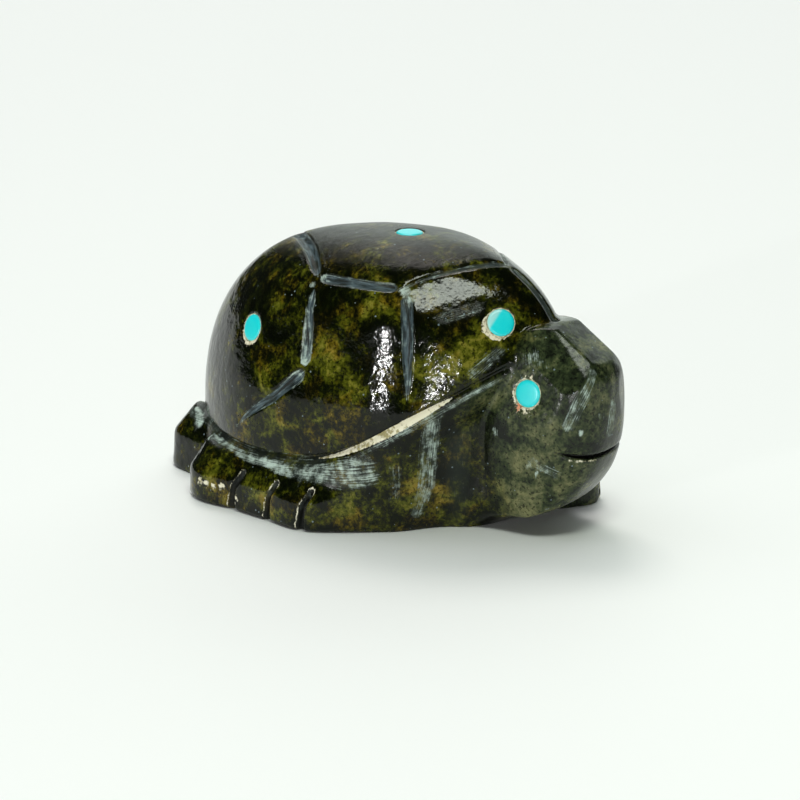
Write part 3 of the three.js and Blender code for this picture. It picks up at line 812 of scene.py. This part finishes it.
# Clouds of lighter and darker stone, with lighter clouds low on the head at the jaw and chin that are
# painted light for the floor's bounce, and a darker one on the head's side: middle, radius, tone
cloudsAndBounce = [
    (-12.8, -2, 17.3, 3.2, 0.42), (-12.5, 0.4, 19.4, 2.2, 0.4), (-13, -3.2, 14.6, 2.4, 0.4),
    (-10.2, -5.1, 24.2, 2.2, 0.35), (-8.2, -13, 19.4, 2.4, 0.5), (-2.7, -17.7, 21.8, 1.6, 0.4),
    (-3.4, -9.5, 27.5, 2, 0.3), (-12.1, 10.6, 13.3, 2.2, 0.15), (-13.2, 5.2, 11.2, 2.2, 0.25),
    (-13.3, -1.9, 11, 2.6, 0.25), (-7.6, -12.3, 10.9, 2, 0.5), (-13, 14.4, 3, 2.6, 0.5),
    (-14, 8.6, 1.8, 2, 0.35), (-13.9, -2.2, 2.1, 2.6, 0.45), (-12, -6.3, 6.1, 1.8, 0.35),
    (-7.3, -10.2, 3.3, 2, 0.7), (-9.6, -10.4, 16.4, 2.4, 0.35), (-12.4, -8, 15.6, 1.2, 0.3),
    (-6, -15, 20.5, 1.5, 0.3), (-11.7, -5.3, 21, 1.8, -0.45), (-14.6, 4.6, 1.6, 1.6, 0.25),
    (-8.8, 15, 17, 4.6, -0.4), (-9.2, -9.3, 22.4, 1.6, -0.4), (-11.1, 8, 21.2, 3.2, -0.35),
    (-7.1, 14.5, 22, 3, -0.3), (-11.2, 1.8, 22.7, 1.8, -0.3), (-12.4, -8, 12.9, 1.8, -0.35),
    (-8.9, -12.9, 14.9, 1.6, -0.3), (-6.1, 1.4, 27.9, 3, -0.2), (-7.3, -5.4, 27, 2, -0.25),
    (-1.9, -16.4, 24.2, 2, -0.35), (-13.6, 9.1, 4.4, 1.6, -0.35), (-5, -18.5, 3.4, 3.4, 0.75),
    (-1.5, -24, 5.6, 3.2, 0.6), (-5.4, -20.5, 9.5, 2.6, 0.5), (-2, -25.6, 13, 3, 0.35),
    (-11.8, -6.8, 2.5, 2.6, 0.4), (-10.2, -8.6, 7.5, 2.2, 0.45), (-6, -12.6, 5, 2, 0.4),
    (-14, 4.5, 8.6, 3.4, 0.35), (-12.4, 11, 8.6, 3.2, 0.35), (-10.6, -8.4, 4.2, 4.2, 0.4),
    (-8.8, -11.4, 18.4, 2.2, 0.4), (-5.4, -20, 14.5, 4, -0.4), (-5, -15.5, 9, 2.4, -0.25),
    (-14.7, 2.1, 4.6, 1.6, -0.45), (-12.8, -0.6, 14.6, 1, -0.5), (-7, -11.5, 6, 1.6, -0.5),
]
tone = np.zeros(count)
for *middle, radius, amount in cloudsAndBounce:
    tone += amount * np.exp(-awayFrom(middle, radius) ** 2)
# The head's stone is greyer: what lies ahead of the neck and isn't shell
ofHead = 1 - eased(points[:, 1] - 0.25 * points[:, 2], -18.6, -14.2)
ofHead *= eased(sampled(shellField, points), 0, 1.2)


def keepAttribute(mesh, name, values):
    vector = values.ndim == 2
    attribute = mesh.attributes.new(name, "FLOAT_VECTOR" if vector else "FLOAT", "POINT")
    values = np.ascontiguousarray(values, np.float32).ravel()
    attribute.data.foreach_set("vector" if vector else "value", values)


quiet = [order for order, (name, line) in enumerate(grooveRuns) if name in ("front ridge", "front slope")]
for name, values in {
    "worked": np.clip(worked, 0, 1),
    "pale": np.clip(pale, 0, 1),
    "cut": inGroove * np.where(np.isin(stroke[:, 2], quiet), 0.4, 1.0),
    "cream": cream,
    "cement": cement,
    "salmon": salmon,
    # painted shade: the mouth's slit, the toe cuts and the inlay seats are coloured near-black
    "deep": np.maximum.reduce([inMouth, inSeat, 0.85 * eased(inToe, 0.4, 1)]),
    "brushed": brushed,
    "stroke": stroke,
    # the tone holds the clouds, with the painted floor bounce on the head's jaw and chin
    "tone": tone,
    "ofHead": ofHead,
}.items():
    keepAttribute(stoneMesh, name, values)
print("stone finished, worked areas marked")


def setNode(node, values):
    # sets or links each input or setting by its name or number
    for key, value in values.items():
        if isinstance(value, bpy.types.NodeSocket):
            node.id_data.links.new(value, node.inputs[key])
        elif isinstance(key, int) or key in node.inputs:
            node.inputs[key].default_value = value
        else:
            setattr(node, key, value)


def addNode(tree, kind, values, output=0):
    # adds a node, and gives back one of its outputs
    node = tree.nodes.new(kind)
    setNode(node, values)
    return node.outputs[output] if len(node.outputs) else None


def linear(hexColour):
    values = [int(hexColour[k:k + 2], 16) / 255 for k in (1, 3, 5)]
    return tuple(v / 12.92 if v <= 0.04045 else ((v + 0.055) / 1.055) ** 2.4 for v in values) + (1,)


def startMaterial(name, look):
    material = bpy.data.materials.new(name)
    material.use_nodes = True
    shader = material.node_tree.nodes["Principled BSDF"]
    setNode(shader, {"Roughness": look["roughness"], "IOR": look["ior"]})
    return material, partial(addNode, material.node_tree), shader


def setStops(rampColour, stops):
    elements = rampColour.node.color_ramp.elements
    while len(elements) < len(stops):
        elements.new(1)
    for element, (place, colour) in zip(elements, stops):
        element.position = place
        element.color = linear(colour)


# Serpentine, sawn, filed and polished by hand: a dark olive stone with ochre clouds and black specks,
# glossy where it was polished, grey and matt where a tool has bruised it, with painted shade in its slits
serpentine = {
    # what the stone is mottled with: size in mm, detail, roughness, distortion
    "noises": {
        "cloud": (4.5, 3.0, 0.5, 0.6),
        "mottle": (1.9, 4.0, 0.56, 0.5),
        "grain": (0.42, 3.0, 0.6, 0.0),
        "hue": (3.2, 3.0, 0.6, 0.5),
        "speck": (0.34, 3.0, 0.6, 0.0),
        "patch": (0.8, 5.0, 0.65, 0.0),
        "ragged": (0.45, 4.0, 0.7, 0.0),
        "fleckSize": (1.7, 2.0, 0.5, 0.0),
        "dimple": (0.34, 3.0, 0.6, 0.0),
        "wave": (1.1, 2.0, 0.5, 0.0),
        "scratch": (1.0, 3.0, 0.6, 0.0),
    },
    "tone": 0.46,  # the middle tone, how much the noises sway it, and how much the named clouds do
    "toneShares": {"cloud": 0.8, "mottle": 1.1, "grain": 0.65},
    "cloudShare": 0.32,
    "fleckGap": 0.85,
    "scratch": (0.09, 3.0, 0.2),  # width and length of the tool's lines in mm, and the gap between strokes
    # each colour ramp runs over the tone, from dark to light
    "olive": [(0.3, "#050801"), (0.45, "#101503"), (0.56, "#292c05"), (0.7, "#4b4f10"), (0.86, "#767229")],
    "brown": [(0.3, "#060801"), (0.45, "#141303"), (0.56, "#332d05"), (0.7, "#5e510f"), (0.86, "#87742b")],
    "head": [(0.22, "#10160b"), (0.38, "#242d1a"), (0.51, "#3b4429"), (0.65, "#575b3c"), (0.82, "#75764f")],
    "speck": "#040603",
    "fleck": "#93a6ae",
    # pale blue flecks, partly polish dust in pits and partly painted glints off them
    "bruise": "#b9cbc0",
    "worked": "#46514b",
    "cutDark": "#121714",
    "cutLight": "#52636a",
    "creamDark": "#a39a6e",
    "creamLight": "#e9e4cb",
    "cementDark": "#9c9270",
    "cementLight": "#e6dfc4",
    "salmon": "#d98a62",
    # near-black painted shade for the slits and the inlay seats
    "deep": "#090806",
    "roughness": 0.1,
    "headRoughness": 0.24,
    "brushedRoughness": 0.32,
    "workedRoughness": 0.55,
    "ior": 1.55,
    "gloss": 0.22,  # a worn wax film takes the edge off the stone's mirror
    "dimpleDepth": 0.000018,  # in metres, as are the next two
    "waveDepth": 0.00009,
    "scratchDepth": 0.00006,
}


def makeSerpentine():
    look = serpentine
    material, add, shader = startMaterial("polished serpentine", look)
    place = add("ShaderNodeTexCoord", {}, "Object")
    inMm = add("ShaderNodeVectorMath", {"operation": "SCALE", 0: place, "Scale": 1 / millimetre})
    reads = {}
    for name in ("worked", "pale", "cut", "cream", "cement", "salmon", "deep", "brushed", "tone", "ofHead"):
        reads[name] = add("ShaderNodeAttribute", {"attribute_name": name}, "Fac")
    stroke = add("ShaderNodeAttribute", {"attribute_name": "stroke"}, "Vector")
    perStroke = [1 / size for size in look["scratch"]]
    drawn = add("ShaderNodeVectorMath", {"operation": "MULTIPLY", 0: stroke, 1: perStroke})
    noises = {}
    for name, (size, detail, roughness, distortion) in look["noises"].items():
        noises[name] = add("ShaderNodeTexNoise", {
            "Vector": drawn if name == "scratch" else inMm,
            "Scale": 1 / size, "Detail": detail, "Roughness": roughness, "Distortion": distortion})

    # each is a weighted sum: a start, then sources with their weights
    shares = look["toneShares"]
    toneParts = [(noises[name], share) for name, share in shares.items()]
    toneParts.append((reads["tone"], look["cloudShare"]))
    sums = {
        "tone": (look["tone"] - sum(shares.values()) / 2, toneParts),
        "pale": (-1.55, [(reads["pale"], 1.1), (noises["scratch"], 1.6), (noises["patch"], 1.5)]),
        "cream": (-0.7, [(reads["cream"], 1.0), (noises["grain"], 0.9), (noises["patch"], 0.5)]),
        "creamShade": (-0.4, [(noises["cloud"], 1.0), (noises["grain"], 0.8)]),
        "cement": (-1.2, [(reads["cement"], 1.0), (noises["ragged"], 2.4)]),
    }
    for name, (total, parts) in sums.items():
        for source, share in parts:
            total = add("ShaderNodeMath", {"operation": "MULTIPLY_ADD", 0: source, 1: share, 2: total})
        sums[name] = total

    # each is a source eased from one value to another, and what that gives where it isn't 0 to 1
    masks = {
        "hue": (noises["hue"], 0.47, 0.62),
        "speck": (noises["speck"], 0.55, 0.63, 0.0, 0.75),
        "fleckSize": (noises["fleckSize"], 0.4, 0.62, 0.02, 0.13),
        "worked": (reads["worked"], 0.1, 1.0, 0.0, 0.35),
        "cut": (reads["cut"], 0.1, 0.9, 0.0, 0.85),
        "cutShade": (noises["scratch"], 0.38, 0.62),
        "pale": (sums["pale"], 0.22, 0.85),
        "paleEdge": (reads["pale"], 0.04, 0.2),
        "palePatch": (noises["patch"], 0.2, 0.7, 0.55, 1.0),
        "cream": (sums["cream"], 0.35, 0.6),
        "creamEdge": (reads["cream"], 0.05, 0.3),
        "creamShade": (sums["creamShade"], 0.34, 0.5),
        "cement": (sums["cement"], 0.4, 0.6),
        "cementEdge": (reads["cement"], 0.05, 0.3),
        "cementShade": (noises["grain"], 0.36, 0.52),
        "salmon": (reads["salmon"], 0.3, 0.7),
        "headPolish": (reads["ofHead"], 0.0, 1.0, look["roughness"], look["headRoughness"]),
        "brushedPolish": (reads["brushed"], 0.0, 1.0, look["roughness"], look["brushedRoughness"]),
        "brushedLines": (reads["brushed"], 0.0, 1.0, 0.0, 0.8),
    }
    for name, (source, low, high, *ends) in masks.items():
        least, most = ends or (0.0, 1.0)
        masks[name] = add("ShaderNodeMapRange", {
            "interpolation_type": "SMOOTHSTEP", "Value": source,
            "From Min": low, "From Max": high, "To Min": least, "To Max": most})
    masks["salmonEdge"] = masks["cement"]
    for name in ("pale", "cream", "cement", "salmon"):
        edge = masks[name + "Edge"]
        masks[name] = add("ShaderNodeMath", {"operation": "MULTIPLY", 0: masks[name], 1: edge})
    paleCover = add("ShaderNodeMath", {"operation": "MULTIPLY", 0: masks["pale"], 1: masks["palePatch"]})
    # flecks that are partly polish dust and partly painted glints
    fleck = add("ShaderNodeTexVoronoi", {"Vector": inMm, "Scale": 1 / look["fleckGap"]})
    inFleck = add("ShaderNodeMath", {"operation": "SUBTRACT", 0: masks["fleckSize"], 1: fleck})
    masks["fleck"] = add("ShaderNodeMapRange", {"Value": inFleck, "From Max": 0.03, "To Max": 0.5})

    ramps = {}
    for name in ("olive", "brown", "head"):
        ramps[name] = add("ShaderNodeValToRGB", {"Fac": sums["tone"]})
        setStops(ramps[name], look[name])
    shades = {}
    for name in ("cut", "cream", "cement"):
        dark, light = linear(look[name + "Dark"]), linear(look[name + "Light"])
        shades[name] = add("ShaderNodeMix", {
            "data_type": "RGBA", "Factor": masks[name + "Shade"], 6: dark, 7: light}, 2)
    # from the bare stone up: what covers it, where, and its colour
    colour = ramps["olive"]
    for share, over in (
        (masks["hue"], ramps["brown"]),
        (reads["ofHead"], ramps["head"]),
        (masks["speck"], linear(look["speck"])),
        # pale flecks: polish dust and painted glints
        (masks["fleck"], linear(look["fleck"])),
        (masks["worked"], linear(look["worked"])),
        (masks["cut"], shades["cut"]),
        (paleCover, linear(look["bruise"])),
        (masks["cream"], shades["cream"]),
        (masks["cement"], shades["cement"]),
        (masks["salmon"], linear(look["salmon"])),
        # painted shade darkens the slits
        (reads["deep"], linear(look["deep"])),
    ):
        colour = add("ShaderNodeMix", {"data_type": "RGBA", "Factor": share, 6: colour, 7: over}, 2)

    dull = reads["worked"]
    for name in ("pale", "cream", "cement"):
        dull = add("ShaderNodeMath", {"operation": "MAXIMUM", 0: dull, 1: masks[name]})
    polish = add("ShaderNodeMapRange", {
        "Value": dull, "From Max": 0.9, "To Min": look["roughness"], "To Max": look["workedRoughness"]})
    for name in ("headPolish", "brushedPolish"):
        polish = add("ShaderNodeMath", {"operation": "MAXIMUM", 0: polish, 1: masks[name]})

    lines = add("ShaderNodeMapRange", {"Value": dull, "From Max": 0.8, "To Min": 0.03, "To Max": 0.8})
    lines = add("ShaderNodeMath", {"operation": "MAXIMUM", 0: lines, 1: masks["brushedLines"]})
    under = {}
    for name, strength in (("dimple", 0.8), ("wave", 0.8), ("scratch", lines)):
        under["Normal"] = add("ShaderNodeBump", {
            "Height": noises[name], "Distance": look[name + "Depth"], "Strength": strength, **under})
    setNode(shader, {"Base Color": colour, "Roughness": polish, "Specular IOR Level": look["gloss"], **under})
    return material


stone.data.materials.clear()
stone.data.materials.append(makeSerpentine())
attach(stone, "root")
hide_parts("turtle_stone")

# Turquoise, ground flush with the stone: an even bright blue-green with faint paler veins
turquoise = {
    "name": "polished turquoise",
    "stops": [(0.35, "#00d6dc"), (0.75, "#1fdcdc")],
    "grain": (0.9, 4.0, 0.6),  # size in mm, detail, roughness
    "roughness": 0.32,
    "ior": 1.6,
    "pale": "#b9e3dc",
    "palePiece": "shell_inlay_front_right",  # this disc has a paler corner
}
# Cement, smeared flush round the inlays: pale, chalky and ragged
chalkyCement = {
    "name": "chalky cement",
    "stops": [(0.38, "#8f8460"), (0.52, "#d8cfae")],
    "grain": (1 / 2.2, 5.0, 0.5),
    "bumpDepth": 0.00004,
    "roughness": 0.75,
    "ior": 1.5,
}


def makeGrained(look):
    material, add, shader = startMaterial(look["name"], look)
    place = add("ShaderNodeTexCoord", {}, "Object")
    size, detail, roughness = look["grain"]
    grain = add("ShaderNodeTexNoise", {
        "Vector": place, "Scale": 1 / millimetre / size, "Detail": detail, "Roughness": roughness})
    colour = add("ShaderNodeValToRGB", {"Fac": grain})
    setStops(colour, look["stops"])
    if "pale" in look:
        share = add("ShaderNodeAttribute", {"attribute_name": "paler"}, "Fac")
        over = linear(look["pale"])
        colour = add("ShaderNodeMix", {"data_type": "RGBA", "Factor": share, 6: colour, 7: over}, 2)
    if "bumpDepth" in look:
        bump = add("ShaderNodeBump", {"Height": grain, "Strength": 0.6, "Distance": look["bumpDepth"]})
        setNode(shader, {"Normal": bump})
    setNode(shader, {"Base Color": colour})
    return material


# A round plug standing along Z with its rim at zero, made by one node tree for discs and cement beds
def makePlugTree():
    tree = bpy.data.node_groups.new("round plug", "GeometryNodeTree")
    add = partial(addNode, tree)
    sockets = {}
    for name in ("Radius", "Depth", "Crown", "Edge", "Raggedness", "Seed", "Material"):
        kind = "NodeSocketMaterial" if name == "Material" else "NodeSocketFloat"
        sockets[name] = tree.interface.new_socket(name, in_out="INPUT", socket_type=kind).identifier
    tree.interface.new_socket("Geometry", in_out="OUTPUT", socket_type="NodeSocketGeometry")
    known = dict(add("NodeGroupInput", {}).node.outputs.items())
    body = add("GeometryNodeMeshCylinder", {
        "fill_type": "TRIANGLE_FAN", "Vertices": 64, "Side Segments": 3, "Fill Segments": 10,
        "Radius": known["Radius"], "Depth": known["Depth"]}, "Mesh")
    split = add("ShaderNodeSeparateXYZ", {0: add("GeometryNodeInputPosition", {})}).node.outputs
    flat = add("ShaderNodeCombineXYZ", {0: split[0], 1: split[1]})
    around = add("ShaderNodeVectorMath", {"operation": "NORMALIZE", 0: flat})
    known["height"] = split[2]
    known["reach"] = add("ShaderNodeVectorMath", {"operation": "LENGTH", 0: flat}, "Value")
    known["noise"] = add("ShaderNodeTexNoise", {
        "noise_dimensions": "4D", "Vector": around, "W": known["Seed"], "Scale": 1.6, "Detail": 3.0})
    # each step works on what is known by name, or on a number
    for name, operation, first, second in (
        ("share", "DIVIDE", "reach", "Radius"),
        ("top", "GREATER_THAN", "height", 0.0),
        ("square", "POWER", "share", 2.0),
        ("domed", "SUBTRACT", 1.0, "square"),
        ("crown", "MULTIPLY", "domed", "Crown"),
        ("rim", "POWER", "share", 14.0),
        ("rounded", "MULTIPLY", "rim", "Edge"),
        ("rise", "SUBTRACT", "crown", "rounded"),
        ("onTop", "MULTIPLY", "rise", "top"),
        ("half", "MULTIPLY", "Depth", 0.5),
        ("lift", "SUBTRACT", "onTop", "half"),
        ("wobble", "SUBTRACT", "noise", 0.5),
        ("ragged", "MULTIPLY", "wobble", "Raggedness"),
    ):
        known[name] = add("ShaderNodeMath", {
            "operation": operation, 0: known.get(first, first), 1: known.get(second, second)})
    up = add("ShaderNodeCombineXYZ", {2: known["lift"]})
    ragged = add("ShaderNodeVectorMath", {"operation": "SCALE", 0: flat, "Scale": known["ragged"]})
    offset = add("ShaderNodeVectorMath", {"operation": "ADD", 0: up, 1: ragged})
    made = add("GeometryNodeSetPosition", {"Geometry": body, "Offset": offset})
    made = add("GeometryNodeSetShadeSmooth", {"Geometry": made})
    made = add("GeometryNodeSetMaterial", {"Geometry": made, "Material": known["Material"]})
    add("NodeGroupOutput", {0: made})
    return tree, sockets


plugTree, plugSockets = makePlugTree()


def makePlug(name, sizes, ragged, seed, material, point, normal, sink):
    # sizes are in mm: radius, depth, crown and edge
    piece = showObject(name, bpy.data.meshes.new(name))
    plug = piece.modifiers.new("plug", "NODES")
    plug.node_group = plugTree
    values = [size * millimetre for size in sizes] + [ragged, seed, material]
    for identifier, value in zip(plugSockets.values(), values):
        plug[identifier] = value
    mesh = appliedMesh(piece)
    mesh.transform(standing((point + axisPlace - normal * sink) * millimetre, normal))
    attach(piece, "root")
    return piece


discSizes = [inlay[name] for name in ("radius", "length", "crown", "edge")]
bedding = {"sizes": (1.7, 0.8, 0.1, 0.02), "sink": 0.16}
turquoiseMaterial = makeGrained(turquoise)
cementMaterial = makeGrained(chalkyCement)
for order, (name, (point, normal)) in enumerate(inlayPlaces.items()):
    disc = makePlug(name + "_turquoise", discSizes, 0.04, 3.0 + order, turquoiseMaterial, point, normal, 0.0)
    places = np.array([vertex.co for vertex in disc.data.vertices]) / millimetre - axisPlace - point
    sideways = unit(np.cross(np.array([0, 0, 1.0]), normal))
    towards = -0.8 * places @ sideways + 0.6 * (places @ np.cross(normal, sideways))
    keepAttribute(disc.data, "paler", 0.7 * eased(towards, 0.5, 0.8) * (name == turquoise["palePiece"]))
    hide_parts(name)
    bed = makePlug(
        name + "_cement", bedding["sizes"], 0.0, 9.0 + order, cementMaterial, point, normal, bedding["sink"])

# Camera: the photo's view, a long lens from the right front and a little above
camera = {
    "place": (-284.1, -178.335, 113.0),
    "back": (-0.8110, -0.5068, 0.2924),
    "right": (0.5299, -0.8480, 0.0),
    "lens": 149.6,
    "sensor": 36,
    "nearest": 0.01,
}
lens = bpy.data.cameras.new("camera")
lens.lens = camera["lens"]
lens.sensor_width = camera["sensor"]
lens.clip_start = camera["nearest"]
eye = showObject("camera", lens)
back = Vector(camera["back"]).normalized()
right = Vector(camera["right"]).normalized()
turn = Matrix((right, back.cross(right), back)).transposed().to_4x4()
eye.matrix_world = Matrix.Translation(Vector(camera["place"]) * millimetre) @ turn
bpy.context.scene.camera = eye

# White card under it, matt
card = {"colour": "#eef0ee", "roughness": 0.7, "ior": 1.5, "halfWidth": 3}
cardMaterial, _, shader = startMaterial("white card", card)
setNode(shader, {"Base Color": linear(card["colour"])})
corners = np.array([(-1, -1, 0), (1, -1, 0), (1, 1, 0), (-1, 1, 0)]) * card["halfWidth"]
floor = showObject("floor", meshFromArrays("floor", corners, np.array([(0, 1, 2, 3)])))
floor.data.materials.append(cardMaterial)

# A pale backdrop, a large lamp and a wide ceiling, all behind the turtle; the room is dark on the camera's
# side but for two narrow lamps low down and one high up. Azimuth from the nose, elevation, distance and
# size in metres, and watts. The polish doesn't mirror the ceiling.
lamps = {
    "backdrop": (104, 18, 3.0, (3.6, 2.6), 42, "#f4fff8"),
    "main lamp": (134, 57, 1.8, (0.7, 0.6), 9, "#fffaf4"),
    "high lamp": (-45.5, 64, 0.6, (0.2, 0.1), 1.15, "#f6fff2"),
    "left lamp": (-97, 6.5, 0.6, (0.014, 0.014), 0.95, "#ffffff"),
    "front lamp": (-58, 4, 0.6, (0.01, 0.012), 0.5, "#ffffff"),
    "ceiling": (168, 68, 1.4, (2.2, 2.2), 18.0, "#f5f8fb"),
}
for name, (azimuth, elevation, distance, size, power, colour) in lamps.items():
    light = bpy.data.lights.new(name, "AREA")
    light.shape = "RECTANGLE"
    light.size, light.size_y = size
    light.energy = power
    light.color = linear(colour)[:3]
    lamp = showObject(name, light)
    a, e = math.radians(azimuth), math.radians(elevation)
    direction = Vector((math.sin(a) * math.cos(e), -math.cos(a) * math.cos(e), math.sin(e)))
    lamp.matrix_world = standing(direction * distance, direction)
    lamp.visible_glossy = name != "ceiling"
room = {"Color": linear("#dfe6e4"), "Strength": 0.03}
world = bpy.data.worlds.new("room")
world.use_nodes = True
setNode(world.node_tree.nodes["Background"], room)
bpy.context.scene.world = world
bpy.context.scene.view_settings.view_transform = "Standard"
